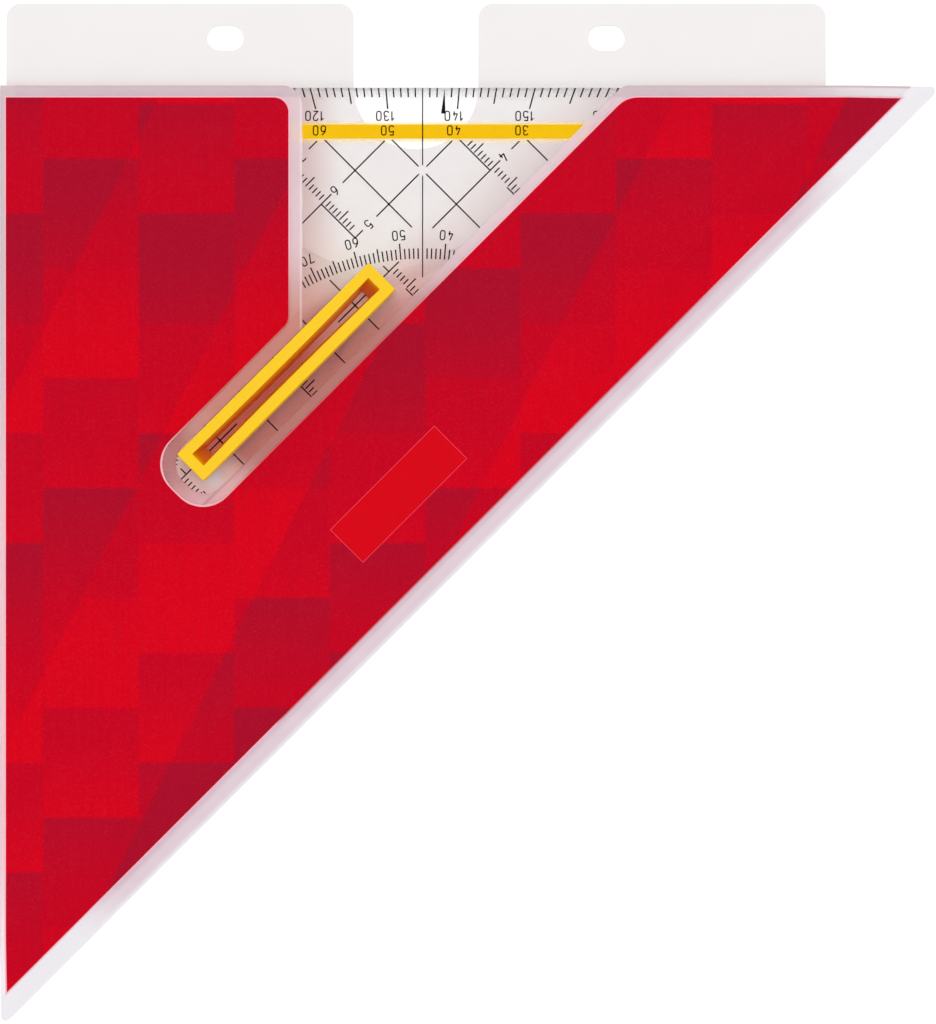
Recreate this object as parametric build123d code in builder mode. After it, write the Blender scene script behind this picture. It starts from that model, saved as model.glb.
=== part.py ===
# A 25 cm drafting set square with a pull-off grip, in a printed film sleeve for a ring binder.
# It lies print side up: +Z is up, +X runs along the open mouth of the sleeve, and +Y points
# from the sleeve towards its filing tabs. The origin is under the middle of the whole, on the
# surface that it lies on. All lengths are in millimetres and all angles in degrees.
import os
from math import cos, radians, sin, sqrt

from build123d import *

os.makedirs("parts", exist_ok=True)

# Set square: a clear right-angled isosceles plate with a bevelled long side
hypotenuse = 249.0
plate_thickness = 2.0
plate_tip_radius = 0.8
bevel_width = 4.0
bevel_depth = 0.9

# Yellow angle bands printed along both short sides, between two rays of the protractor
band_inset = 7.7
band_width = 2.95
band_first_angle = 7.0
band_last_angle = 83.0

# Grip: a bar frame with a long waisted slot, on two pegs
grip_length = 56.4
grip_width = 7.8
grip_height = 9.0
grip_v = 40.0
grip_corner_radius = 0.4
grip_rim_radius = 0.25
grip_end_wall = 2.3
slot_rim_width = 3.4
slot_rim_bulge = 0.2
slot_foot_width = 2.2
slot_foot_bulge = 0.5
ramp_length = 2.8
ramp_rim_depth = 0.8
ramp_foot_depth = 8.0
peg_diameter = 2.8
peg_clearance = 0.05
peg_tip_gap = 0.2
peg_tip_chamfer = 0.3

# Sleeve: a flat back film and a raised front film, welded along the long side and the left side
film = 0.3
sleeve_tip_radius = 1.0
side_radius = 0.4
plate_side_gap = 0.15
plate_mouth_gap = 0.42
pocket_clearance = 0.2
crest_gap = 1.97
crest_radius = 6.0
slope_width = 8.5
weld_width = 4.0

# Filing tabs on the back film, with the thumb notch between them
tab_height = 17.4
tab_width = 72.8
tab_start = 1.15
tab_corner_radius = 3.0
tab_gap = 26.3
hole_pitch = 80.0
hole_length = 7.7
hole_width = 5.3
hole_height = 10.2

# Window in the front film: a slot that the grip runs in, and a wide cut above it
window_side = 63.3
grip_low_gap = 3.2
grip_high_gap = 0.6
grip_end_gap = 3.3
window_end_radius = 5.0
window_inner_radius = 1.0
window_side_flare = 4.2
window_slot_flare = 3.5

# Print on the front film: a pale underlay, the cover print on it, and a bare label panel
ink = 0.05
underlay_rim = 0.3
label_rim = 0.15
print_side_margin = 1.25
print_mouth_margin = 2.5
print_weld_margin = 4.3
print_window_margin = 2.9
print_slot_margin = 2.3
print_end_radius = 7.0
print_inner_radius = 3.0
print_side_flare = 3.1
print_slot_flare = 6.0
label_length = 30.6
label_width = 9.5
label_u = -1.5
label_v = 5.6

# Heights of the stack, from the surface that the sleeve lies on
plate_floor = film
plate_top = plate_floor + plate_thickness
front_floor = plate_top + pocket_clearance
front_top = front_floor + film

# The plate's short sides and its height, and the sleeve that fits round it. Beside the plate's
# long side the front film has its crest, then its slope down to the back film, then its weld.
diagonal = sqrt(2)
plate_leg = hypotenuse / diagonal
plate_height = hypotenuse / 2
crest_v = -crest_gap
weld_v = crest_v - slope_width
sleeve_edge_v = weld_v - weld_width
past_corner_v = plate_height + weld_width
plate_inset = film + plate_side_gap
sleeve_leg = plate_inset + plate_mouth_gap + plate_leg - diagonal * sleeve_edge_v

# The sleeve's right-angled corner, which puts the origin under the middle of sleeve and tabs
sleeve_reach = sleeve_leg - diagonal * sleeve_tip_radius
corner_x = -sleeve_reach / 2
corner_y = (sleeve_reach - tab_height) / 2

# The middle of the hypotenuse: u runs along it to the upper right, v from it to the corner
middle_x = corner_x + plate_inset + plate_leg / 2
middle_y = corner_y - plate_mouth_gap - plate_leg / 2
u_direction = (1, 1, 0)
v_direction = (-1, 1, 0)
uv_plane = Plane(origin=(middle_x, middle_y, 0), x_dir=u_direction, z_dir=(0, 0, 1))
section_plane = Plane(origin=(middle_x, middle_y, 0), x_dir=v_direction, z_dir=u_direction)


def u_at_side(right, v):
    """Where the line at this distance from the sleeve's left side has this v."""
    return v + diagonal * (corner_x + right - middle_x)


def u_at_mouth(down, v):
    """Where the line at this distance below the sleeve's mouth has this v."""
    return diagonal * (corner_y - down - middle_y) - v


def sleeve_point(right, down):
    """A point given by its distances from the sleeve's left side and mouth, in u and v."""
    across = corner_x + right - middle_x
    up = corner_y - down - middle_y
    return (across + up) / diagonal, (up - across) / diagonal


# The window's slot leaves these gaps round the grip
window_low_v = grip_v - grip_width / 2 - grip_low_gap
window_high_v = grip_v + grip_width / 2 + grip_high_gap
window_end_u = -grip_length / 2 - grip_end_gap


def front_outline(side, mouth, weld, grow, grow_slot, radii):
    """Plan of the front film or of a print on it, in u and v: the triangle less the window.

    The triangle is drawn in by three margins, and the window is grown by one margin, and by
    another at the slot's low side. The radii are those of the slot's end, of the corner where
    the slot opens, and of the flares at the mouth beside the wide cut and beside the slot.
    """
    end_radius, inner_radius, side_flare, slot_flare = radii
    long_leg = sleeve_leg - diagonal * weld
    right = window_side - grow
    low, high = window_low_v - grow_slot, window_high_v + grow
    end = window_end_u - grow
    above_mouth = mouth - tab_height
    inner_corner = (u_at_side(right, high), high)
    side_corner = sleeve_point(right, mouth)
    slot_corner = (u_at_mouth(mouth, low), low)
    with BuildSketch() as outline:
        with BuildLine():
            Polyline(
                sleeve_point(side, mouth),
                sleeve_point(side, long_leg - side),
                sleeve_point(long_leg - mouth, mouth),
                close=True,
            )
        make_face()
        with BuildLine():
            Polyline(
                (end, low),
                (end, high),
                inner_corner,
                sleeve_point(right, above_mouth),
                (u_at_mouth(above_mouth, low), low),
                close=True,
            )
        make_face(mode=Mode.SUBTRACT)
        for corner in [(end, low), (end, high)]:
            fillet(outline.vertices().sort_by_distance(corner)[0], end_radius)
        fillet(outline.vertices().sort_by_distance(inner_corner)[0], inner_radius)
        fillet(outline.vertices().sort_by_distance(side_corner)[0], side_flare)
        fillet(outline.vertices().sort_by_distance(slot_corner)[0], slot_flare)
    return outline.sketch


def film_line(lift):
    """The front film's underside in v and z, lifted: its edge, its weld's end, crest and end."""
    return [
        (sleeve_edge_v, film + lift),
        (weld_v, film + lift),
        (crest_v, front_floor + lift),
        (past_corner_v, front_floor + lift),
    ]


def film_section(outline, crests):
    """A closed section in v and z, rounded where the film bends over the plate's edge."""
    with BuildSketch() as section:
        with BuildLine():
            Polyline(*outline, close=True)
        make_face()
        for crest in crests:
            fillet(section.vertices().sort_by_distance(crest)[0], crest_radius)
    return section.sketch


def layer_section(low, high):
    """Section of a layer that follows the front film between two lifts."""
    bottom, top = film_line(low), film_line(high)
    return film_section(bottom + top[::-1], [bottom[2], top[2]])


# Back film: one flat sheet with the filing tabs, the thumb notch and the filing holes
tab_middle = tab_start + tab_width + tab_gap / 2
tab_starts = [tab_start, tab_start + tab_width + tab_gap]
with BuildPart() as back_film:
    with BuildSketch(Plane(origin=(corner_x, corner_y, 0))) as back_plan:
        with BuildLine():
            Polyline((0, 0), (0, -sleeve_leg), (sleeve_leg, 0), close=True)
        make_face()
        for tip in [(0, -sleeve_leg), (sleeve_leg, 0)]:
            fillet(back_plan.vertices().sort_by_distance(tip)[0], sleeve_tip_radius)
        for start in tab_starts:
            with Locations((start, 0)):
                Rectangle(tab_width, tab_height, align=(Align.MIN, Align.MIN))
        top_corners = back_plan.vertices().group_by(Axis.Y)[-1]
        fillet(top_corners, tab_corner_radius)
        with Locations((tab_middle, 0)):
            Circle(tab_gap / 2, mode=Mode.SUBTRACT)
        with Locations((tab_middle, hole_height)):
            with GridLocations(hole_pitch, 0, 2, 1):
                SlotOverall(hole_length, hole_width, mode=Mode.SUBTRACT)
    extrude(amount=film)
back_film.part.label = "back_film"
export_step(back_film.part, "parts/back_film.step")

# Front film: it rises from the weld over the plate, and a side wall closes it on the left
with BuildPart() as pocket:
    with BuildSketch(section_plane):
        line = film_line(0)
        add(film_section(line[1:] + [(past_corner_v, film)], [line[2]]))
    extrude(amount=sleeve_leg, both=True)
    with BuildSketch(Plane(origin=(corner_x + film, 0, 0))):
        Rectangle(sleeve_leg, 2 * sleeve_leg, align=(Align.MIN, Align.CENTER))
    extrude(amount=front_top, mode=Mode.INTERSECT)

film_radii = (window_end_radius, window_inner_radius, window_side_flare, window_slot_flare)
with BuildPart() as front_film:
    with BuildSketch(section_plane):
        line = film_line(film)
        add(film_section(line + [(past_corner_v, film), (sleeve_edge_v, film)], [line[2]]))
    extrude(amount=sleeve_leg, both=True)
    add(pocket.part, mode=Mode.SUBTRACT)
    with BuildSketch(uv_plane) as front_plan:
        add(front_outline(0, 0, 0, 0, 0, film_radii))
        for tip in [sleeve_point(0, sleeve_leg), sleeve_point(sleeve_leg, 0)]:
            fillet(front_plan.vertices().sort_by_distance(tip)[0], sleeve_tip_radius)
    extrude(amount=front_top, mode=Mode.INTERSECT)
    with BuildSketch(Plane.XZ.offset(-corner_y)) as side_section:
        with Locations((corner_x, front_top)):
            Rectangle(sleeve_leg, 2 * front_top, align=(Align.MIN, Align.MAX))
        fillet(side_section.vertices().sort_by_distance((corner_x, front_top))[0], side_radius)
    extrude(amount=sleeve_leg, mode=Mode.INTERSECT)
front_film.part.label = "front_film"
export_step(front_film.part, "parts/front_film.step")

# Print: a pale underlay that shows as a thin rim, with the cover print and the label on it
print_radii = (print_end_radius, print_inner_radius, print_side_flare, print_slot_flare)


def print_outline(rim):
    """Plan of the cover print, or of the underlay that stands out round it by a rim."""
    margins = [print_side_margin, print_mouth_margin, print_weld_margin]
    margins += [print_window_margin, print_slot_margin]
    return front_outline(*[margin - rim for margin in margins], print_radii)


with BuildPart() as print_underlay:
    with BuildSketch(section_plane):
        add(layer_section(film, film + ink))
    extrude(amount=sleeve_leg, both=True)
    with BuildSketch(uv_plane):
        add(print_outline(underlay_rim))
    extrude(amount=front_top + ink, mode=Mode.INTERSECT)
print_underlay.part.label = "print_underlay"
export_step(print_underlay.part, "parts/print_underlay.step")

with BuildPart() as cover_print:
    with BuildSketch(section_plane):
        add(layer_section(film + ink, film + 2 * ink))
    extrude(amount=sleeve_leg, both=True)
    with BuildSketch(uv_plane):
        add(print_outline(0))
        with Locations((label_u, label_v)):
            opening_size = (label_length + 2 * label_rim, label_width + 2 * label_rim)
            Rectangle(*opening_size, mode=Mode.SUBTRACT)
    extrude(amount=front_top + 2 * ink, mode=Mode.INTERSECT)
cover_print.part.label = "cover_print"
export_step(cover_print.part, "parts/cover_print.step")

with BuildPart() as label_panel:
    with BuildSketch(uv_plane.offset(front_top + ink)):
        with Locations((label_u, label_v)):
            Rectangle(label_length, label_width)
    extrude(amount=ink)
label_panel.part.label = "label_panel"
export_step(label_panel.part, "parts/label_panel.step")

# Set square: the clear plate, with its bevel and the two holes for the grip's pegs
slot_length = grip_length - 2 * grip_end_wall
peg_pitch = slot_length - ramp_length
peg_places = [(-peg_pitch / 2, grip_v), (peg_pitch / 2, grip_v)]
with BuildPart() as set_square_plate:
    with BuildSketch(uv_plane.offset(plate_floor)) as plate_plan:
        half = hypotenuse / 2
        with BuildLine():
            Polyline((-half, 0), (half, 0), (0, plate_height), close=True)
        make_face()
        fillet(plate_plan.vertices(), plate_tip_radius)
        with Locations(*peg_places):
            Circle(peg_diameter / 2 + peg_clearance, mode=Mode.SUBTRACT)
    extrude(amount=plate_thickness)
    with BuildSketch(section_plane):
        rise = bevel_depth / bevel_width
        with BuildLine():
            Polyline(
                (-bevel_width, plate_top - bevel_depth - rise * bevel_width),
                (bevel_width, plate_top),
                (-bevel_width, plate_top),
                close=True,
            )
        make_face()
    extrude(amount=hypotenuse, both=True, mode=Mode.SUBTRACT)
set_square_plate.part.label = "set_square_plate"
export_step(set_square_plate.part, "parts/set_square_plate.step")


def band_corner(inset, angle):
    """Where a ray of the protractor crosses the line at this inset from the right short side."""
    along, across = cos(radians(angle)), sin(radians(angle))
    radius = (plate_height - diagonal * inset) / (along + across)
    return radius * along, radius * across


# Angle bands: two yellow prints on the plate, mirrored about its middle
outer_inset, inner_inset = band_inset, band_inset + band_width
with BuildPart() as angle_band_upper:
    with BuildSketch(uv_plane.offset(plate_top)):
        with BuildLine():
            Polyline(
                band_corner(outer_inset, band_first_angle),
                band_corner(outer_inset, band_last_angle),
                band_corner(inner_inset, band_last_angle),
                band_corner(inner_inset, band_first_angle),
                close=True,
            )
        make_face()
    extrude(amount=ink)
angle_band_upper.part.label = "angle_band_upper"
export_step(angle_band_upper.part, "parts/angle_band_upper.step")

with BuildPart() as angle_band_left:
    mirror_plane = Plane(origin=(middle_x, middle_y, 0), z_dir=u_direction)
    mirror(angle_band_upper.part, about=mirror_plane)
angle_band_left.part.label = "angle_band_left"
export_step(angle_band_left.part, "parts/angle_band_left.step")

# Grip: the bar frame, its slot drafted from rim to foot, a ramp at each end, and its pegs
grip_top = plate_top + grip_height
slot_half = slot_length / 2
ramp_foot = slot_half - ramp_length


def slot_outline(width, bulge):
    """Plan of the grip's slot at one height: square ends, and sides that bulge inwards."""
    low, high = grip_v - width / 2, grip_v + width / 2
    with BuildSketch() as outline:
        with BuildLine():
            ThreePointArc((-slot_half, high), (0, high - bulge), (slot_half, high))
            Line((slot_half, high), (slot_half, low))
            ThreePointArc((slot_half, low), (0, low + bulge), (-slot_half, low))
            Line((-slot_half, low), (-slot_half, high))
        make_face()
    return outline.sketch


with BuildPart() as grip_bar:
    with BuildSketch(uv_plane.offset(plate_top)) as grip_plan:
        with Locations((0, grip_v)):
            Rectangle(grip_length, grip_width)
        fillet(grip_plan.vertices(), grip_corner_radius)
    extrude(amount=grip_height)
    fillet(grip_bar.faces().sort_by(Axis.Z)[-1].edges(), grip_rim_radius)
    with BuildSketch(uv_plane.offset(plate_top)):
        add(slot_outline(slot_foot_width, slot_foot_bulge))
    with BuildSketch(uv_plane.offset(grip_top)):
        add(slot_outline(slot_rim_width, slot_rim_bulge))
    loft(ruled=True, mode=Mode.SUBTRACT)
    ramp_plane = Plane(uv_plane.from_local_coords(Vector(0, grip_v, 0)), u_direction, (1, -1, 0))
    with BuildSketch(ramp_plane) as ramps:
        for side in (1, -1):
            with BuildLine():
                Polyline(
                    (side * ramp_foot, plate_top),
                    (side * slot_half, plate_top),
                    (side * slot_half, grip_top - ramp_rim_depth),
                    (side * ramp_foot, grip_top - ramp_foot_depth),
                    close=True,
                )
            make_face()
    extrude(amount=slot_rim_width / 2, both=True)
    with BuildSketch(uv_plane.offset(plate_top)):
        with Locations(*peg_places):
            Circle(peg_diameter / 2)
    extrude(amount=-(plate_thickness - peg_tip_gap))
    chamfer(grip_bar.edges().sort_by(Axis.Z)[:2], peg_tip_chamfer)
grip_bar.part.label = "grip_bar"
export_step(grip_bar.part, "parts/grip_bar.step")
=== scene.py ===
# A 25 cm set square with a pull-off grip, in a printed film sleeve with two filing tabs. It
# lies print side up on a white desk, seen from straight above. Each section below is a piece
# or a group of like pieces, in the order in which the object is put together.
from math import atan, cos, radians, sin, sqrt

import bmesh
import bpy
from mathutils import Matrix, Vector


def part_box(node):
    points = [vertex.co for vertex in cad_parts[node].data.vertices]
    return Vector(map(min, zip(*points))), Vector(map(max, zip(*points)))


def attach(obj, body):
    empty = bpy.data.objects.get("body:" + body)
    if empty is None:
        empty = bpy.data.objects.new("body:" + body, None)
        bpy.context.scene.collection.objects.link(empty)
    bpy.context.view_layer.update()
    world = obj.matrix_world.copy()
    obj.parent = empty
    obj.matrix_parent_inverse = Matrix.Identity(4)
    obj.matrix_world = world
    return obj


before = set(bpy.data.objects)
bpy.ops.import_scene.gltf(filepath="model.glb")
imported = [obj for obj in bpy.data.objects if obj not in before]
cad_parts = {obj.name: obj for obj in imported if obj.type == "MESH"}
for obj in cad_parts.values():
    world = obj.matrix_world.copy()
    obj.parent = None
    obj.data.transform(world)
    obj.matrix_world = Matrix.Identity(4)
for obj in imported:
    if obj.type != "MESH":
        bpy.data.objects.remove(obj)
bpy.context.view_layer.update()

# The set square: a triangle cut from 2 mm clear acrylic sheet, bevelled on its long side, loose
# in the sleeve. It has painted shade, a grey band along its short sides that darkens to a line at
# the cut edge. Its upper face has painted light: a yellow glow beside the bands and an orange one
# under the grip's slot. Its u runs along the long side from the middle, and its v from there to
# the right angle.
mm = 0.001
hypotenuse = 249 * mm
bevel_width = 4 * mm
bevel_depth = 0.9 * mm
plate_low, plate_high = (Vector(corner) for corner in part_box("set_square_plate"))
plate_height = hypotenuse / 2
plate_leg = hypotenuse / sqrt(2)
plate_top = plate_high.z
middle_x = plate_low.x + plate_leg / 2
middle_y = plate_high.y - plate_leg / 2
from_plate = Matrix.Translation((middle_x, middle_y, 0)) @ Matrix.Rotation(radians(45), 4, "Z")


class Field:
    """A number, a colour or a direction that changes over a surface: a shader node's output."""

    def __init__(self, tree, output):
        self.tree = tree
        self.output = output

    def node(self, kind, settings, inputs, output=0):
        """Adds a node with these settings, sets or joins its inputs, and wraps one output."""
        made = self.tree.nodes.new("ShaderNode" + kind)
        for name, value in settings.items():
            setattr(made, name, value)
        for name, value in inputs.items():
            if isinstance(value, Field):
                self.tree.links.new(value.output, made.inputs[name])
            else:
                made.inputs[name].default_value = value
        return Field(self.tree, made.outputs[output])

    def maths(self, operation, *values):
        """Adds a Math node on these values."""
        return self.node("Math", {"operation": operation}, dict(enumerate(values)))

    def __add__(self, other):
        return self.maths("ADD", self, other)

    __radd__ = __add__

    def __sub__(self, other):
        return self.maths("SUBTRACT", self, other)

    def __rsub__(self, other):
        return self.maths("SUBTRACT", other, self)

    def __mul__(self, other):
        return self.maths("MULTIPLY", self, other)

    __rmul__ = __mul__

    def __truediv__(self, other):
        return self.maths("DIVIDE", self, other)

    def __gt__(self, other):
        return self.maths("GREATER_THAN", self, other)

    def __abs__(self):
        return self.maths("ABSOLUTE", self)

    def larger(self, other):
        return self.maths("MAXIMUM", self, other)

    def smaller(self, other):
        return self.maths("MINIMUM", self, other)

    def floor(self):
        return self.maths("FLOOR", self)

    def fraction(self):
        return self.maths("FRACT", self)

    def rise(self, start, end):
        """0 before the start, 1 after the end, and smooth between them."""
        settings = {"interpolation_type": "SMOOTHSTEP"}
        return self.node("MapRange", settings, {"Value": self, "From Min": start, "From Max": end})

    def span(self, start, end, blur):
        """1 between the start and the end, 0 outside them, with blurred ends."""
        return self.rise(start - blur, start + blur) * self.rise(end + blur, end - blur)

    def mix(self, first, second):
        """The first colour where this is 0 and the second where it is 1."""
        factor, colour_a, colour_b, colour = 0, 6, 7, 2
        inputs = {factor: self, colour_a: first, colour_b: second}
        return self.node("Mix", {"data_type": "RGBA"}, inputs, colour)

    def noise(self, size, detail=2):
        """Mottle of about this size, 0 to 1, over the place that this field holds."""
        inputs = {"Vector": self, "Scale": 1 / size, "Detail": detail}
        return self.node("TexNoise", {}, inputs, "Fac")

    def split(self):
        """The x, y and z of the place that this field holds."""
        whole = self.node("SeparateXYZ", {}, {0: self})
        return [Field(self.tree, output) for output in whole.output.node.outputs]


def display(red, green, blue):
    """A colour given as it looks on a screen, 0 to 255 each, as light."""
    parts = [value / 255 for value in (red, green, blue)]
    light = [c / 12.92 if c <= 0.04045 else ((c + 0.055) / 1.055) ** 2.4 for c in parts]
    return (*light, 1)


def new_material(name, **finish):
    """A material with its shader's sockets set, and the place on the surface as a field."""
    material = bpy.data.materials.new(name)
    material.use_nodes = True
    tree = material.node_tree
    for socket, value in finish.items():
        tree.nodes["Principled BSDF"].inputs[socket.replace("_", " ")].default_value = value
    place = tree.nodes.new("ShaderNodeTexCoord").outputs["Object"]
    return material, Field(tree, place)


def drive(material, socket, field):
    """Lets a field set one of the shader's sockets."""
    shader = material.node_tree.nodes["Principled BSDF"]
    material.node_tree.links.new(field.output, shader.inputs[socket])


def let_light_up(material, place, cover):
    """Lets light pass upwards through a coat, and makes it cover this much of what lies below."""
    facing = Field(place.tree, place.output.node.outputs["Normal"]).split()[2]
    drive(material, "Alpha", (facing > -0.1) * cover)


def dress(node, material):
    """Gives a CAD node its material."""
    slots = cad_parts[node].data.materials
    slots.clear()
    slots.append(material)


def plate_axes(place):
    """The u and the v, in millimetres, of the place that a field holds."""
    x, y = place.split()[:2]
    right, up = x - middle_x, y - middle_y
    return (right + up) / (sqrt(2) * mm), (up - right) / (sqrt(2) * mm)


band_low, band_high = (Vector(corner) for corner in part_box("angle_band_upper"))
band_outer_inset = plate_high.y - band_high.y
band_inner_inset = plate_high.y - band_low.y
band_start = band_low.x - plate_low.x
band_end = band_high.x - plate_low.x
halo_outer = band_outer_inset - 0.3 * mm
halo_inner = band_inner_inset + 0.5 * mm
halo_blur = 0.8 * mm
halo_end_blur = 1 * mm
slot_v = 40
slot_half_width = 2.2
slot_half_length = 27.5
slot_blur = 1.2
slot_end_blur = 1.5
edge_band_painted_shade = display(208, 203, 205)
edge_line_painted_shade = display(178, 173, 175)
band_painted_glow = display(255, 214, 84)
slot_painted_orange = display(230, 122, 88)
slot_painted_cream = display(255, 232, 218)
slot_painted_coral = display(240, 142, 116)


def beside_band(inset, along):
    """Where a band's painted glow falls, from the distances to its own short side and the other.
    """
    across_band = inset.span(halo_outer, halo_inner, halo_blur)
    return across_band * along.span(band_start, band_end, halo_end_blur)


acrylic, place = new_material("clear_acrylic", IOR=1.49, Specular_IOR_Level=0.15)
x, y, z = place.split()
u, v = plate_axes(place)
inside_mouth = plate_high.y - y
inside_left = x - plate_low.x
upper_face = z.rise(plate_top - 0.2 * mm, plate_top - 0.1 * mm)
# Painted light beside both bands: a yellow glow on the upper face, as if light came through the
# yellow ink.
band_painted_halo = beside_band(inside_mouth, inside_left).larger(beside_band(inside_left, inside_mouth))
band_painted_halo *= upper_face
# Painted shade: a grey band within about 3 mm of the short sides, darkest in a line at the cut
# edge.
from_edge = inside_mouth.smaller(inside_left)
near_edge = from_edge.rise(3.2 * mm, 0.3 * mm)
edge_line = from_edge.rise(0.8 * mm, 0.2 * mm)
edge_shade = edge_line.mix(edge_band_painted_shade, edge_line_painted_shade)
# Painted light under the grip's slot: orange in the middle, cream towards the upper right end and
# coral towards the lower left end, as light bounced in the yellow slot.
in_slot = v.span(slot_v - slot_half_width, slot_v + slot_half_width, slot_blur)
in_slot *= abs(u).rise(slot_half_length, slot_half_length - slot_end_blur) * upper_face
slot_painted_light = u.rise(0, 24).mix(slot_painted_orange, slot_painted_cream)
slot_painted_light = u.rise(-10, -20).mix(slot_painted_light, slot_painted_coral)
tint = band_painted_halo.rise(0, 0.1).mix(edge_shade, band_painted_glow)
drive(acrylic, "Base Color", in_slot.mix(tint, slot_painted_light))
drive(acrylic, "Coat Weight", 1 - band_painted_halo.larger(in_slot))
cover = near_edge * 0.32 + edge_line * 0.2 + band_painted_halo * 0.75 + in_slot * 0.9 + 0.02
let_light_up(acrylic, place, cover)
drive(acrylic, "Roughness", place.noise(9 * mm) * 0.08 + 0.03)
dress("set_square_plate", acrylic)

# Printed scales: fine black lines screen printed on the plate, with degree ticks along both
# short sides and on an inner arc, upright millimetre scales, a centimetre grid, and a ruler
# on the bevel with its zero in the middle. The left half mirrors the right half.
ink = 0.03 * mm
line_width = 0.29 * mm
band_top = band_high.z
relief_depth = 0.05 * mm
full_black = display(4, 3, 5)
thin_black = display(20, 16, 18)
black_on_yellow = display(54, 20, 2)


def roughen(material, height, strength):
    """Gives the surface a fine relief, from a field of heights from 0 to 1."""
    inputs = {"Height": height, "Strength": strength, "Distance": relief_depth}
    drive(material, "Normal", height.node("Bump", {}, inputs, "Normal"))


black_ink, place = new_material("black_ink", Roughness=0.5, Specular_IOR_Level=0.05)
coverage = place.noise(0.4 * mm)
on_plate = coverage.mix(full_black, thin_black)
on_band = place.split()[2].rise(plate_top + 1.2 * ink, plate_top + 1.4 * ink)
drive(black_ink, "Base Color", on_band.mix(on_plate, black_on_yellow))
roughen(black_ink, coverage, 0.2)
let_light_up(black_ink, place, 0.98)


def add_piece(name, mesh, body, material):
    """Makes a piece of the object from a bmesh, riding on a body."""
    data = bpy.data.meshes.new(name)
    mesh.to_mesh(data)
    mesh.free()
    data.materials.append(material)
    piece = bpy.data.objects.new(name, data)
    bpy.context.scene.collection.objects.link(piece)
    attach(piece, body)


def add_line(mesh, start, angle, length, floor=plate_top, width=line_width):
    """Adds a printed line: a thin closed block, from its start in u and v, at an angle."""
    along = Matrix.Translation((*start, floor)) @ Matrix.Rotation(angle, 4, "Z")
    block = Matrix.Diagonal((length, width, ink, 1)) @ Matrix.Translation((0.5, 0, 0.5))
    bmesh.ops.create_cube(mesh, size=1, matrix=from_plate @ along @ block)


def add_ray(mesh, angle, near, far, floor=plate_top, width=line_width):
    """Adds a line on a ray of the protractor, between two distances from the middle."""
    add_line(mesh, (near * cos(angle), near * sin(angle)), angle, far - near, floor, width)


def side_radius(angle, inset):
    """How far out a ray comes to within this distance of a short side."""
    return (plate_height - sqrt(2) * inset) / (abs(cos(angle)) + sin(angle))


def tick_rank(number):
    """10, 5 or 1: which of its scale's three lengths a tick has."""
    return next(rank for rank in (10, 5, 1) if number % rank == 0)


right_angle = radians(90)
half_turn = radians(180)
tick_edge_gap = 0.03 * mm
degree_width = 0.3 * mm
degree_depths = {10: 4.45 * mm, 5: 3.4 * mm, 1: 2.0 * mm}
ticked_degrees = [*range(4, 88), *range(93, 177)]
ray_degrees = (45, 135)
marker_degrees = (42, 138)
marker_length = 5.4 * mm
marker_width = 0.9 * mm
side_degrees = bmesh.new()
for degree in ticked_degrees:
    angle = radians(degree)
    if degree not in ray_degrees + marker_degrees:
        near = side_radius(angle, degree_depths[tick_rank(degree)])
        far = side_radius(angle, tick_edge_gap)
        add_ray(side_degrees, angle, near, far, width=degree_width)
for degree in marker_degrees:
    angle = radians(degree)
    tip = Matrix.Translation((0, 0, plate_top)) @ Matrix.Rotation(angle, 4, "Z")
    far = side_radius(angle, tick_edge_gap)
    near = far - marker_length
    outline = [(far, 0), (near, marker_width / 2), (near, -marker_width / 2)]
    corners = [side_degrees.verts.new((*point, 0)) for point in outline]
    face = side_degrees.faces.new(corners)
    raised = bmesh.ops.extrude_face_region(side_degrees, geom=[face])["geom"]
    lifted = [item for item in raised if isinstance(item, bmesh.types.BMVert)]
    bmesh.ops.translate(side_degrees, verts=lifted, vec=(0, 0, ink))
    bmesh.ops.transform(side_degrees, verts=corners + lifted, matrix=from_plate @ tip)
bmesh.ops.recalc_face_normals(side_degrees, faces=side_degrees.faces)
add_piece("side_degree_ticks", side_degrees, "set_square", black_ink)

arc_radius = 52.2 * mm
arc_lengths = {10: 3.35 * mm, 5: 2.85 * mm, 1: 2.2 * mm}
arc_ticked_degrees = range(5, 176)
arc_degrees = bmesh.new()
for degree in arc_ticked_degrees:
    if degree not in ray_degrees:
        far = arc_radius + arc_lengths[tick_rank(degree)]
        add_ray(arc_degrees, radians(degree), arc_radius, far)
add_piece("arc_degree_ticks", arc_degrees, "set_square", black_ink)

upright_ends = {10: 3.0 * mm, 5: 3.0 * mm, 1: 1.8 * mm}
upright_tick_gap = 0.3 * mm
# How far up each millimetre scale goes, by its u.
upright_reach = {0: 36, 30: 77, -30: 77, 60: 47, -60: 47}
upright_start = 15
arc_room = (arc_radius - 2 * mm, arc_radius + 7 * mm)
upright_scales = bmesh.new()
for place_u, last in upright_reach.items():
    facing = 0 if place_u >= 0 else half_turn
    for number in range(upright_start, last + 1):
        radius = sqrt(place_u**2 + number**2) * mm
        if arc_room[0] < radius < arc_room[1] and place_u:
            continue
        start = (place_u * mm + upright_tick_gap * cos(facing), number * mm)
        length = upright_ends[tick_rank(number)] - upright_tick_gap
        add_line(upright_scales, start, facing, length)
add_piece("upright_scales", upright_scales, "set_square", black_ink)

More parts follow.
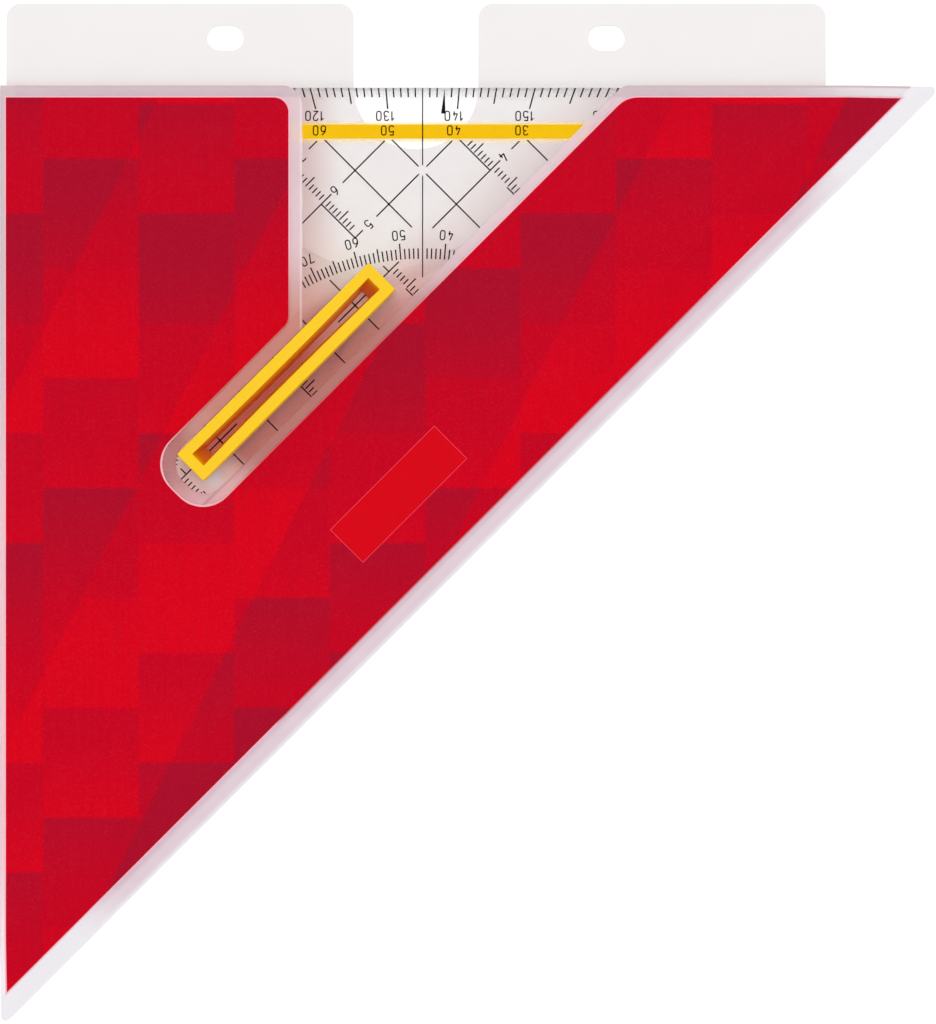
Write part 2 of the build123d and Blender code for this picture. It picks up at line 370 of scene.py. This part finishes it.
ruler_reach = 110
ruler_edge_gap = 0.3 * mm
ruler_lengths = {10: 3.5 * mm, 5: 2.8 * mm, 1: 2.1 * mm}
slope = Matrix.Translation((0, 0, plate_top - bevel_depth))
slope @= Matrix.Rotation(atan(bevel_depth / bevel_width), 4, "X")
ruler = bmesh.new()
for number in range(-ruler_reach, ruler_reach + 1):
    length = ruler_lengths[tick_rank(number)]
    start = Matrix.Translation((number * mm, ruler_edge_gap, 0))
    block = Matrix.Diagonal((line_width, length, ink, 1)) @ Matrix.Translation((0, 0.5, 0.5))
    bmesh.ops.create_cube(ruler, size=1, matrix=from_plate @ slope @ start @ block)
add_piece("ruler_ticks", ruler, "set_square", black_ink)

# Grid: lines a centimetre apart, with a ray at 45 degrees. They stop short of the yellow
# bands, and leave room for the inner arc, for the numerals and for a cross in the middle.
grid_pitch = 10
cross_radius = 50 * sqrt(2) * mm
cross_gap = 1.1 * mm
ray_start = 48.3 * mm
ray_width = 0.24 * mm
grid_lines = bmesh.new()


def add_stretches(mesh, start, angle, stretches):
    """Adds the stretches of a line, each from one distance to another, given in millimetres."""
    for near, far in stretches:
        near_point = (start[0] + near * mm * cos(angle), start[1] + near * mm * sin(angle))
        add_line(mesh, near_point, angle, (far - near) * mm)


# The stretches of each upright line by its u, and of each level line by its v.
uprights = {
    0: [(15, 37), (43.5, 70)],
    10: [(15, 37), (43.5, 50)],
    20: [(15, 47.5)],
    30: [(15, 35), (40, 41.7), (50, 60), (70, 78)],
    40: [(10, 31.5), (43.2, 69)],
    50: [(10, 14), (33, 49), (51.2, 59.1)],
    60: [(10, 35), (40, 49)],
    70: [(10, 39)],
    80: [(10, 29)],
    90: [(10, 19)],
}
levels = {
    20: [(47.5, 62.7), (66.3, 88)],
    30: [(51, 62.7), (66.3, 78)],
    40: [(15, 33), (42.9, 62.7), (66.3, 68.7)],
    50: [(29.9, 32.3), (36.3, 48.9), (51.1, 58.8)],
    60: [(0, 33), (36.3, 48.8)],
    70: [(0, 33), (36.3, 38.7)],
    80: [(0, 28.5)],
    90: [(0, 18.5)],
}
for side, ray_degree in zip((1, -1), ray_degrees):
    for place_u, stretches in uprights.items():
        if place_u or side > 0:
            start = (side * place_u * mm, 0)
            add_stretches(grid_lines, start, right_angle, stretches)
    for place_v, stretches in levels.items():
        angle = 0 if side > 0 else half_turn
        add_stretches(grid_lines, (0, place_v * mm), angle, stretches)
    angle = radians(ray_degree)
    band_near = side_radius(angle, band_inner_inset)
    band_far = side_radius(angle, band_outer_inset)
    for near, far, floor in (
        (ray_start, cross_radius - cross_gap, plate_top),
        (cross_radius + cross_gap, band_near, plate_top),
        (band_near, band_far, band_top),
        (band_far, side_radius(angle, tick_edge_gap), plate_top),
    ):
        add_ray(grid_lines, angle, near, far, floor, ray_width)
add_piece("grid_lines", grid_lines, "set_square", black_ink)

# Numerals: drawn in the even strokes of technical lettering and printed with the scales, to
# be read from the right angle's side: two rows along each short side, one along the arc, and
# those of the uprights and the ruler. A stroke's points are in parts of a digit's box.
numeral_height = 2.2 * mm
stroke_width = 0.12
digit_width = 0.43
one_width = 0.45 * digit_width
digit_height = 0.88
digit_gap = 0.31
digit_loops = {
    "0": [[(0, 0), (1, 0), (1, 0.5), (1, 1), (0, 1), (0, 0.5)]],
    "8": [
        [(0, 0), (1, 0), (1, 0.27), (1, 0.54), (0, 0.54), (0, 0.27)],
        [(0.08, 0.54), (0.92, 0.54), (0.92, 0.77), (0.92, 1), (0.08, 1), (0.08, 0.77)],
    ],
}
digit_strokes = {
    "1": [[(0, 0.74), (0.45, 1), (0.45, 1), (0.45, 0)]],
    "2": [[(0.02, 0.76), (0.02, 1), (1, 1.02), (1, 0.62), (0.8, 0.44), (0, 0), (0, 0), (1, 0)]],
    "3": [[(0.02, 0.84), (0.12, 1.01), (0.94, 1.02), (0.94, 0.55), (0.42, 0.54), (0.42, 0.54)]
          + [(1.04, 0.54), (1.04, 0), (0.12, -0.02), (0, 0.18)]],
    "4": [[(0.55, 1), (0, 0.28), (0, 0.28), (1, 0.28)], [(0.7, 0.5), (0.7, 0)]],
    "5": [[(0.92, 1), (0.12, 1), (0.12, 1), (0.05, 0.56), (0.05, 0.56), (0.3, 0.67)]
          + [(1.02, 0.66), (1.02, 0), (0.15, -0.02), (0, 0.15)]],
    "6": [[(0.8, 1), (0.3, 0.78), (0, 0.5), (0, 0)]
          + [(1, -0.01), (1, 0.62), (0.12, 0.62), (0.02, 0.36)]],
    "7": [[(0, 1), (1, 1), (1, 1), (0.35, 0)]],
    "9": [[(0.2, 0), (0.7, 0.22), (1, 0.5), (1, 1)]
          + [(0, 1.01), (0, 0.38), (0.88, 0.38), (0.98, 0.64)]],
}
numbered_degrees = [*range(10, 90, 10), *range(100, 180, 10)]
outer_row_inset = 5.9 * mm
outer_row_shift = 0.65 * mm
band_row_inset = 8.95 * mm
band_row_shift = 0.41 * mm
arc_row_radius = 57.3 * mm
upright_row_offset = 4
upright_numbers = {30: (2, 3, 5, 6, 7), 60: (2, 3, 4)}
ruler_row_v = 6.2 * mm
ruler_numbers = range(-10, 11)
merge_distance = 0.001 * mm
numerals = bmesh.new()
glyphs = {}


def add_stroke(curve, points, left, closed):
    """Adds a digit's stroke to a curve, with the digit's left side at this place."""
    spline = curve.splines.new("NURBS")
    spline.points.add(len(points) - 1)
    for point, (x, y) in zip(spline.points, points):
        point.co = (left + x * digit_width, y * digit_height, 0, 1)
    spline.use_cyclic_u = closed
    spline.use_endpoint_u = not closed
    spline.order_u = 3
    spline.resolution_u = 3


def glyph(text):
    """A number as a closed mesh of flat strokes, one unit high, one thick and centred."""
    if text not in glyphs:
        curve = bpy.data.curves.new("numeral", "CURVE")
        curve.dimensions = "3D"
        curve.bevel_depth = stroke_width / 2
        curve.bevel_resolution = 1
        curve.use_fill_caps = True
        left = 0
        for digit in text:
            for points in digit_loops.get(digit, []):
                add_stroke(curve, points, left, closed=True)
            for points in digit_strokes.get(digit, []):
                add_stroke(curve, points, left, closed=False)
            left += digit_gap + (one_width if digit == "1" else digit_width)
        letters = bpy.data.objects.new("numeral", curve)
        bpy.context.scene.collection.objects.link(letters)
        flat = bpy.data.meshes.new_from_object(letters)
        bpy.data.objects.remove(letters)
        points = [vertex.co for vertex in flat.vertices]
        low = Vector([min(point[axis] for point in points) for axis in range(3)])
        high = Vector([max(point[axis] for point in points) for axis in range(3)])
        unit = 1 / (high.y - low.y)
        thin = 1 / (high.z - low.z)
        centre = (low + high) / 2
        flat.transform(Matrix.Diagonal((unit, unit, thin, 1)) @ Matrix.Translation(-centre))
        glyphs[text] = flat
    return glyphs[text]


def add_numeral(number, point, turn, floor=plate_top):
    """Adds a number, centred on a point in u and v, and turned from upright along v."""
    flat = glyph(str(number)).copy()
    size = Matrix.Diagonal((numeral_height, numeral_height, ink, 1))
    size @= Matrix.Translation((0, 0, 0.5))
    spot = Matrix.Translation((*point, floor)) @ Matrix.Rotation(turn, 4, "Z")
    flat.transform(from_plate @ spot @ size)
    numerals.from_mesh(flat)
    bpy.data.meshes.remove(flat)


for degree in numbered_degrees:
    angle = radians(degree)
    to_side = radians(45 if degree < 90 else 135)
    for number, inset, shift, floor in [
        (180 - degree, outer_row_inset, outer_row_shift, plate_top),
        (degree, band_row_inset, band_row_shift, band_top),
    ]:
        radius = side_radius(angle, inset)
        inward = shift / sqrt(2)
        toward = -inward if degree < 90 else inward
        point = (radius * cos(angle) + toward, radius * sin(angle) + inward)
        add_numeral(number, point, to_side + right_angle, floor)
for degree in numbered_degrees:
    angle = radians(degree)
    point = (arc_row_radius * cos(angle), arc_row_radius * sin(angle))
    add_numeral(degree, point, angle + right_angle)
for side in (1, -1):
    for place_u, numbers in upright_numbers.items():
        for number in numbers:
            point = (side * (place_u + upright_row_offset) * mm, number * grid_pitch * mm)
            add_numeral(number, point, half_turn)
for number in ruler_numbers:
    add_numeral(abs(number), (number * grid_pitch * mm, ruler_row_v), half_turn)
bmesh.ops.remove_doubles(numerals, verts=numerals.verts, dist=merge_distance)
bmesh.ops.recalc_face_normals(numerals, faces=numerals.faces)
add_piece("numerals", numerals, "set_square", black_ink)

# Angle bands: two strips of warm yellow ink, screen printed on the plate along both short
# sides, under one row of the numerals. The ink is even, with a slightly soft gloss.
full_yellow = display(240, 186, 1)
thin_yellow = display(248, 197, 4)

yellow_ink, place = new_material("yellow_ink", Specular_IOR_Level=0.04)
coverage = place.noise(3 * mm, 4)
drive(yellow_ink, "Base Color", coverage.mix(full_yellow, thin_yellow))
let_light_up(yellow_ink, place, 0.97)
drive(yellow_ink, "Roughness", coverage * 0.15 + 0.35)
for node in ("angle_band_upper", "angle_band_left"):
    dress(node, yellow_ink)

# Grip: one moulding of bright yellow ABS, a bar with a long waisted slot that the fingers
# pinch, on two pegs that push into the plate. Its faces have a fine satin texture. Inside the
# slot the walls have painted shade and painted bounced light: orange below the rim, darker
# orange at the ends and deep down.
grip_high = Vector(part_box("grip_bar")[1])
grip_height = 9 * mm
opening_half_width = 3
opening_half_length = 27
opening_blur = 0.2
satin_yellow = display(248, 199, 4)
satin_light_yellow = display(252, 206, 10)
side_wall_painted_yellow = display(255, 190, 24)
end_wall_painted_orange = display(240, 140, 6)
deep_painted_orange = display(255, 150, 80)

yellow_plastic, place = new_material("yellow_plastic", IOR=1.53, Specular_IOR_Level=0.2)
u, v = plate_axes(place)
across = abs(v - slot_v)
in_slot = across.rise(opening_half_width + opening_blur, opening_half_width - opening_blur)
along = abs(u)
in_slot *= along.rise(opening_half_length + opening_blur, opening_half_length - opening_blur)
depth = (grip_high.z - place.split()[2]) / grip_height * in_slot
mottle = place.noise(5 * mm, 3)
satin = mottle.mix(satin_yellow, satin_light_yellow)
# Painted shade and bounced light in the slot: orange walls below the rim, darker orange at the
# ends and deep down.
wall = along.rise(22.4, 23.2).mix(side_wall_painted_yellow, end_wall_painted_orange)
upper_wall = depth.rise(0.02, 0.3).mix(satin, wall)
drive(yellow_plastic, "Base Color", depth.rise(0.25, 1.0).mix(upper_wall, deep_painted_orange))
drive(yellow_plastic, "Roughness", mottle * 0.12 + 0.36)
roughen(yellow_plastic, place.noise(0.12 * mm, 3), 0.25)
dress("grip_bar", yellow_plastic)

# Back film: one sheet of frosted polypropylene with the two filing tabs, stamped out with its
# filing holes and thumb notch. Round the slot and along the window's left side it has painted
# light, brown pink as if lit through the red print, with a painted pale bloom by the slot's lower
# end, and the painted light fades out into the window. Just above the mouth it has a faint
# painted shade.
frosted_low, frosted_high = (Vector(corner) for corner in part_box("front_film"))
window_side = 63.3
painted_bloom_place = (-26.6, 35.2, 0)
mouth_white = display(252, 249, 248)
haze_white = display(248, 243, 242)
cloud_white = display(244, 239, 241)
window_side_painted_brown = display(196, 104, 100)
window_side_painted_pink = display(228, 164, 160)
slot_painted_pink = display(219, 140, 136)
slot_end_painted_pink = display(255, 214, 213)
painted_bloom_white = display(255, 240, 247)
tab_mouth_painted_shade = display(252, 240, 239)
window_mouth_painted_shade = display(248, 243, 243)


def frosted_film(name, **finish):
    """Frosted film with its fine haze: colour and opacity are driven afterwards."""
    film, place = new_material(name, IOR=1.49, Specular_IOR_Level=0.15, **finish)
    drive(film, "Roughness", place.noise(0.5 * mm) * 0.2 + 0.45)
    roughen(film, place.noise(0.25 * mm), 0.12)
    return film, place


def sleeve_edges(place):
    """How far right of the window's left side, and below the mouth, in millimetres."""
    x, y = place.split()[:2]
    return (x - frosted_low.x) / mm - window_side, (frosted_high.y - y) / mm


back, place = frosted_film("back_frosted_film", Alpha=0.9)
u, v = plate_axes(place)
beside, below = sleeve_edges(place)
mist = below.rise(1, 12).mix(mouth_white, haze_white)
fog = (place.noise(14 * mm) * 0.4).mix(mist, cloud_white)
# Painted light round the slot and along the window's left side: brown pink as if lit through the
# red print, paler at the slot's lower end, with a painted pale bloom there.
side_painted_glow = beside.rise(9.5, -0.5) * (below.rise(28, 43) * 0.2 + 0.4)
low_painted_glow = v.rise(46, 32) * (u.rise(48, 25) * 0.78 + 0.2)
under_slot_painted_glow = u.rise(30, 8) * v.rise(52, 43)
unlit = (1 - side_painted_glow) * (1 - low_painted_glow) * (1 - under_slot_painted_glow)
painted_lit = (1 - unlit) * v.rise(20, 26) * below.rise(0, 1)
at_end = u.rise(-18, -24)
flat_place = place.node("CombineXYZ", {}, {"X": u, "Y": v})
distance = {"operation": "DISTANCE"}
from_bloom = place.node("VectorMath", distance, {0: flat_place, 1: painted_bloom_place}, "Value")
in_slot = u.rise(30, 14) * v.rise(50, 42)
from_side = below.rise(26, 42).mix(window_side_painted_brown, window_side_painted_pink)
painted_glow = in_slot.mix(from_side, slot_painted_pink)
painted_glow = at_end.mix(painted_glow, slot_end_painted_pink)
painted_glow = from_bloom.rise(3, 0.5).mix(painted_glow, painted_bloom_white)
with_painted_light = painted_lit.mix(fog, painted_glow)
# Painted shade just above the mouth, as cast by the front film's edge onto the tabs.
above = 0 - below
at_mouth = above.rise(1.9, 0.3) * above.rise(-0.1, 0)
mouth_painted_shade = beside.span(0, 72, 5).mix(tab_mouth_painted_shade, window_mouth_painted_shade)
drive(back, "Base Color", at_mouth.mix(with_painted_light, mouth_painted_shade))
dress("back_film", back)

# Front film: the same film, raised over the plate and welded to the back film along the long
# side, with the stamped window and slot that the grip runs in. It is pink beside the print,
# and whiter where it is welded and at the two tips. Round the slot it has painted light, brown
# pink as if lit through the print, with a painted highlight along the window's cut and painted
# shade along the slot's lower cut and the mouth's lip.
print_left = 3.3
print_low_v = -9.9
print_blur = 0.3
slot_high_v = 44.5
strip_cover = 0.6
margin_cover = 0.92
ring_painted_pink = display(228, 177, 185)
ring_painted_brown = display(186, 118, 122)
slot_side_painted_brown = display(190, 129, 128)
slot_side_painted_pink = display(211, 148, 146)
window_strip_pink = display(230, 203, 210)
cut_painted_highlight = display(255, 246, 250)
cut_painted_shade = display(150, 100, 104)
mouth_pink = display(215, 191, 200)
mouth_tip_white = display(233, 226, 231)
lip_painted_shade = display(204, 183, 183)
upper_side_grey = display(211, 192, 199)
side_pink = display(241, 199, 207)
side_tip_white = display(251, 239, 247)
print_side_pink = display(216, 186, 199)
weld_pink = display(225, 205, 214)
weld_white = display(242, 240, 242)
weld_tip_white = display(240, 237, 242)


def lit_by_print(u, v, beside, below):
    """How much painted light, as if from the print, the front film and the print's rim take round
    the slot.
    """
    along_slot = u.rise(-34, -14) * u.rise(48, 18) * v.rise(26, 29) * v.rise(50, 47)
    up_side = below.rise(32, 50) * beside.rise(-6, -4) * 0.85
    return along_slot.larger(up_side)


front, place = frosted_film("front_frosted_film")
u, v = plate_axes(place)
beside, below = sleeve_edges(place)
side_margin = (beside + window_side).rise(print_left + print_blur, print_left - print_blur)
weld_margin = v.rise(print_low_v + print_blur, print_low_v - print_blur)
margin = side_margin.larger(weld_margin)
# Painted light round the slot, brown pink as if lit through the print, browner on the slot's lower
# side and in a ring round its lower end.
slot_side = v.rise(35, 43).mix(slot_side_painted_brown, slot_side_painted_pink)
strip = lit_by_print(u, v, beside, below).mix(window_strip_pink, slot_side)
end_ring = v.rise(31, 46).mix(ring_painted_pink, ring_painted_brown)
strip = (u.rise(-18, -27) * v.rise(27, 29)).mix(strip, end_ring)
# A painted highlight along the window's left cut, and a painted shade line along the slot's lower
# cut towards its lower end.
window_cut = beside.span(-0.55, 0.1, 0.08) * v.rise(slot_high_v - 1, slot_high_v)
strip = (window_cut * 0.35).mix(strip, cut_painted_highlight)
slot_cut = v.span(32.55, 33.2, 0.06) * u.rise(-12, -20)
strip = (slot_cut * 0.35).mix(strip, cut_painted_shade)
mouth_strip = abs(u).rise(112, 132).mix(mouth_pink, mouth_tip_white)
strip = below.rise(2.6, 2.2).mix(strip, mouth_strip)
# Painted shade in a thin line along the mouth's lip.
strip = below.rise(0.55, 0.35).mix(strip, lip_painted_shade)
side = below.rise(50, 100).mix(upper_side_grey, side_pink)
side = below.rise(155, 190).mix(side, side_tip_white)
weld = v.rise(-10.8, -12).mix(print_side_pink, weld_pink)
weld = v.rise(-13.2, -14.9).mix(weld, weld_white)
weld = abs(u).rise(98, 116).mix(weld, weld_tip_white)
drive(front, "Base Color", margin.mix(strip, weld_margin.mix(side, weld)))
let_light_up(front, place, margin * (margin_cover - strip_cover) + strip_cover)
dress("front_film", front)

# Print underlay: a coat of pale pink ink under the cover print, which shows as a thin rim
# all round it, and as a redder one round the label. Round the slot the rim has painted light,
# redder as if lit through the print.
label_u = -1.5
label_v = 5.6
rim_pink = display(245, 182, 194)
rim_pale_pink = display(249, 192, 204)
slot_rim_painted_red = display(204, 104, 108)
label_rim_red = display(246, 66, 90)

pale_ink, place = new_material("pale_ink", Roughness=0.5, Specular_IOR_Level=0.1)
u, v = plate_axes(place)
beside, below = sleeve_edges(place)
rim = place.noise(2 * mm).mix(rim_pink, rim_pale_pink)
# Painted light round the slot: the rim redder there, as if lit through the print.
rim = lit_by_print(u, v, beside, below).mix(rim, slot_rim_painted_red)
at_label = abs(u - label_u).rise(18, 17) * abs(v - label_v).rise(7, 6)
drive(pale_ink, "Base Color", at_label.mix(rim, label_rim_red))
roughen(pale_ink, place.noise(0.18 * mm), 0.2)
dress("print_underlay", pale_ink)

# Cover print: matt red ink, tone on tone, in blocks laid like bricks on end and crossed by
# broad leaning bands. The ink is grainy with faint upright streaks, and its shapes have soft
# edges.
block_width = 20 * mm
block_height = 23 * mm
block_x = -9 * mm
block_y = 5 * mm
band_spread = 36 * mm
band_lean = -0.5
edge_wobble = 2.2 * mm
column_step = 0.37
row_step = 0.62
band_step = 0.62
block_share = 0.55
block_fade = 0.25
light_red = display(219, 1, 26)
mid_red = display(200, 2, 32)
dark_red = display(170, 12, 42)
grain_red = display(164, 4, 34)
speck_pink = display(255, 205, 210)

red_ink, place = new_material("red_ink", Specular_IOR_Level=0.015)
x, y = place.split()[:2]
wobble = (place.noise(0.3 * mm) - 0.5) * edge_wobble
across = (x + wobble - block_x) / block_width
column = across.floor()
up = (y + wobble - block_y) / block_height + column * 0.5
row = up.floor()
slant = (x + y * band_lean + wobble) / band_spread
band = slant.floor()
block_tone = (column * column_step + row * row_step + 0.1).fraction()
band_tone = (band * band_step + 0.3).fraction()
tone = block_tone * block_share + band_tone * (1 - block_share) + (up - row - 0.5) * block_fade
patches = tone.rise(0.1, 0.42).mix(light_red, mid_red)
patches = tone.rise(0.42, 0.8).mix(patches, dark_red)
drawn_out = place.node("Mapping", {}, {"Vector": place, "Scale": (1, 0.03, 1)})
streaks = drawn_out.noise(0.9 * mm)
grain = place.noise(0.3 * mm, 3)
speckle = (grain * 0.6 + streaks * 0.4).rise(0.35, 0.75)
grainy = (speckle * 0.3).mix(patches, grain_red)
bright_specks = place.noise(0.25 * mm).rise(0.5, 0.75) * 0.015
drive(red_ink, "Base Color", bright_specks.mix(grainy, speck_pink))
drive(red_ink, "Roughness", grain * 0.2 + 0.45)
roughen(red_ink, place.noise(0.25 * mm), 0.15)
dress("cover_print", red_ink)

# Label panel: a bare plate of brighter red ink, printed on the pale underlay in the gap that
# the cover print leaves for it.
label_red = display(208, 6, 18)
label_bright_red = display(221, 10, 30)

label_ink, place = new_material("label_ink", Roughness=0.5, Specular_IOR_Level=0.015)
drive(label_ink, "Base Color", place.noise(0.5 * mm, 3).mix(label_red, label_bright_red))
roughen(label_ink, place.noise(0.25 * mm), 0.15)
dress("label_panel", label_ink)

# The desk: a white sheet under the whole sleeve, with a faint glow of its own to the camera, so
# that it stays white where nothing shades it.
desk_size = 3
desk_drop = 0.05 * mm
desk_glow = 0.12
sheet_white = display(248, 248, 248)
sheet_bright_white = display(252, 252, 252)
desk_mesh = bmesh.new()
bmesh.ops.create_grid(desk_mesh, x_segments=1, y_segments=1, size=desk_size / 2)
bmesh.ops.translate(desk_mesh, verts=desk_mesh.verts, vec=(0, 0, -desk_drop))
desk_data = bpy.data.meshes.new("desk")
desk_mesh.to_mesh(desk_data)
desk_mesh.free()
desk = bpy.data.objects.new("desk", desk_data)
bpy.context.scene.collection.objects.link(desk)
sheet, place = new_material(
    "white_desk", Roughness=0.9, Specular_IOR_Level=0, Emission_Color=(1, 1, 1, 1)
)
drive(sheet, "Base Color", place.noise(80 * mm).mix(sheet_white, sheet_bright_white))
rays = ("Camera", "Glossy", "Transmission")
direct, mirrored, through = (place.node("LightPath", {}, {}, f"Is {ray} Ray") for ray in rays)
drive(sheet, "Emission Strength", direct.larger(mirrored).larger(through) * desk_glow)
desk_data.materials.append(sheet)

# Light: a white room, even but for one broad soft light overhead, towards the filing tabs. The
# camera sees the room plain white.
room_light = 0.78
lamp_light = 2.0
lamp_direction = Vector((0.08, 0.38, 1.2)).normalized()
lamp_edges = (cos(radians(26)), cos(radians(14)))
world = bpy.data.worlds.new("room")
world.use_nodes = True
world.cycles.sampling_method = "NONE"
bpy.context.scene.world = world
background = world.node_tree.nodes["Background"]
background.inputs["Color"].default_value = (1, 1, 1, 1)
directions = world.node_tree.nodes.new("ShaderNodeTexCoord").outputs["Generated"]
outward = Field(world.node_tree, directions)
product = {"operation": "DOT_PRODUCT"}
to_lamp = outward.node("VectorMath", product, {0: outward, 1: lamp_direction}, "Value")
light = to_lamp.rise(*lamp_edges) * lamp_light + room_light
camera_ray = outward.node("LightPath", {}, {}, "Is Camera Ray")
strength = camera_ray * (1 - light) + light
world.node_tree.links.new(strength.output, background.inputs["Strength"])

# Camera: straight above, far enough for nearly parallel sight, with the picture's upper edge
# along the filing tabs.
camera_height = 1.0
view_height = 214.5 * mm
camera_data = bpy.data.cameras.new("camera")
camera_data.sensor_width = 36
camera_data.lens = camera_data.sensor_width * (camera_height - plate_top) / view_height
camera = bpy.data.objects.new("camera", camera_data)
camera.location = (0, 0, camera_height)
bpy.context.scene.collection.objects.link(camera)
bpy.context.scene.camera = camera
bpy.context.scene.view_settings.view_transform = "Standard"
